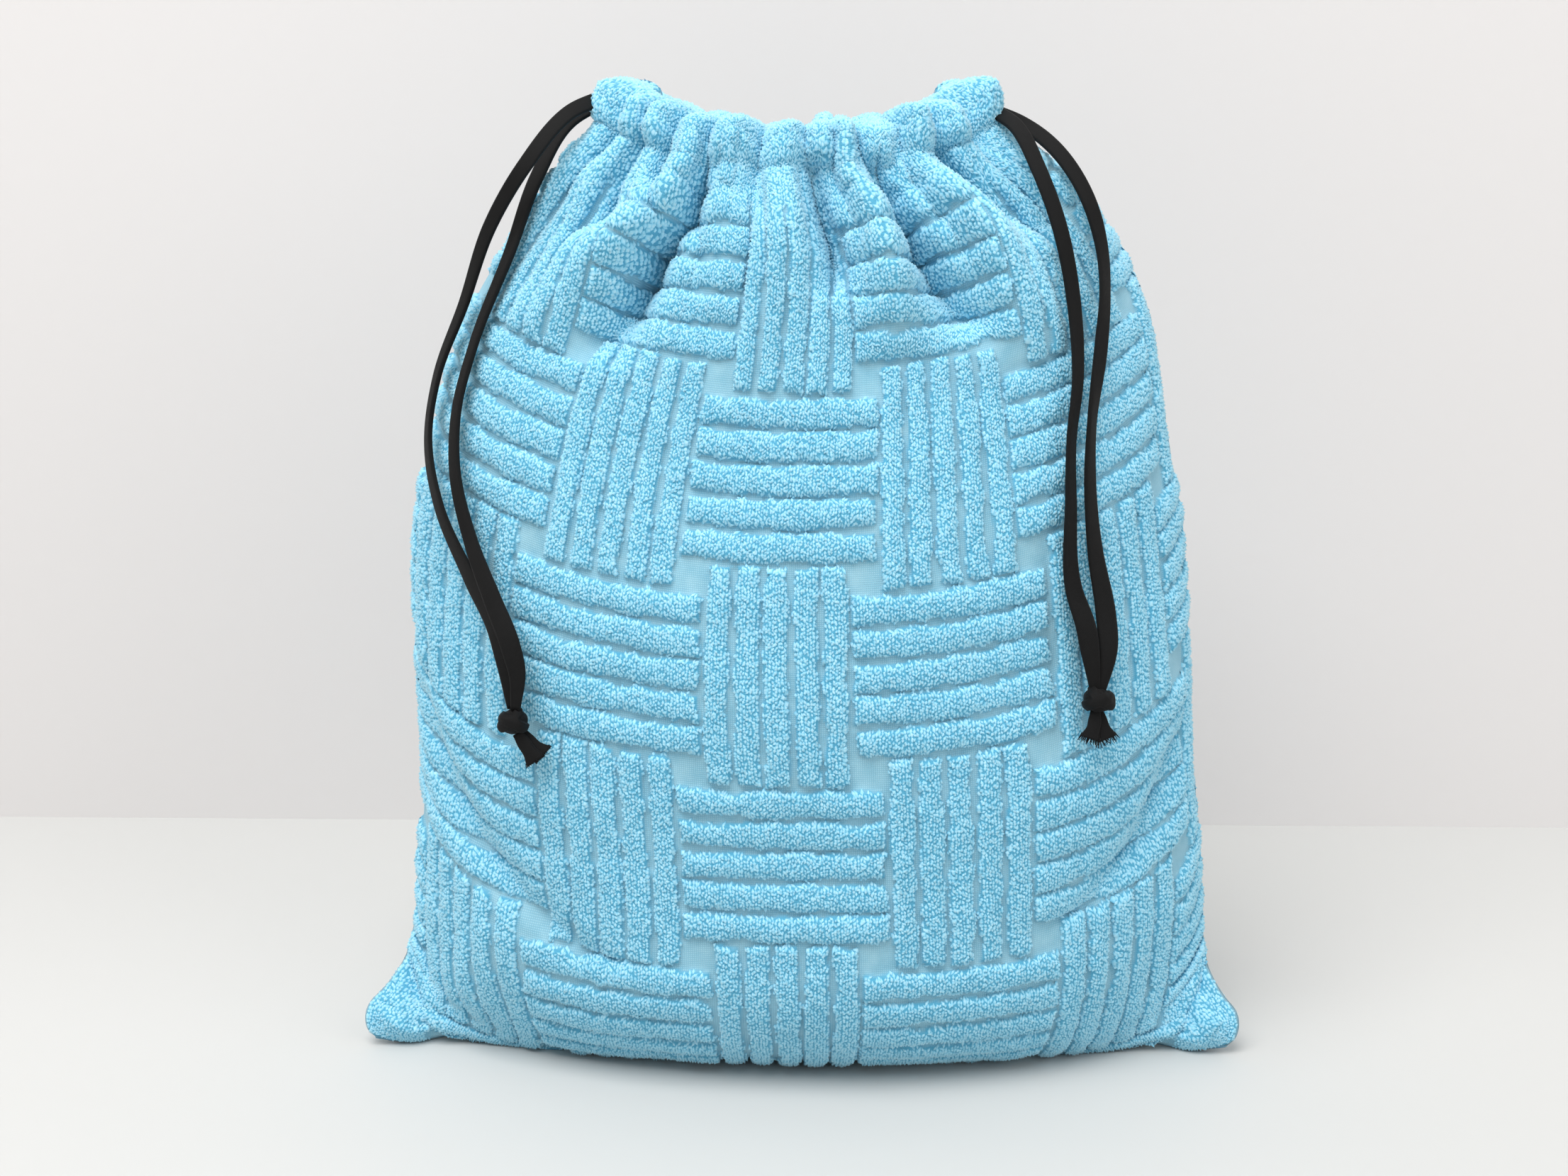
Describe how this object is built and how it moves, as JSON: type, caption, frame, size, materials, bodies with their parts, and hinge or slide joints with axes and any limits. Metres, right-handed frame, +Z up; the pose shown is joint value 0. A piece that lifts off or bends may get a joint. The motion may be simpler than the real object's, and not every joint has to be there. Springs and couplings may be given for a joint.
{
  "type": "drawstring pouch",
  "caption": "Towelling kinchaku pouch with a basket pattern of raised bars, gathered on two black drawcords with a knot at each side.",
  "frame": {"origin": "middle of the resting base, on the table under the body's bounding box", "axes": "+Z up to the gathered mouth, -Y out of the front panel, +X to the right as seen from the front"},
  "size_m": [0.3248, 0.1382, 0.342],
  "materials": {
    "towelling": "matte looped pile",
    "black_tape": "matte woven tape"
  },
  "bodies": {
    "root": {"pouch_body": "towelling", "drawcord_left": "black_tape", "drawcord_right": "black_tape", "knot_left": "black_tape", "knot_right": "black_tape"}
  },
  "joints": []
}
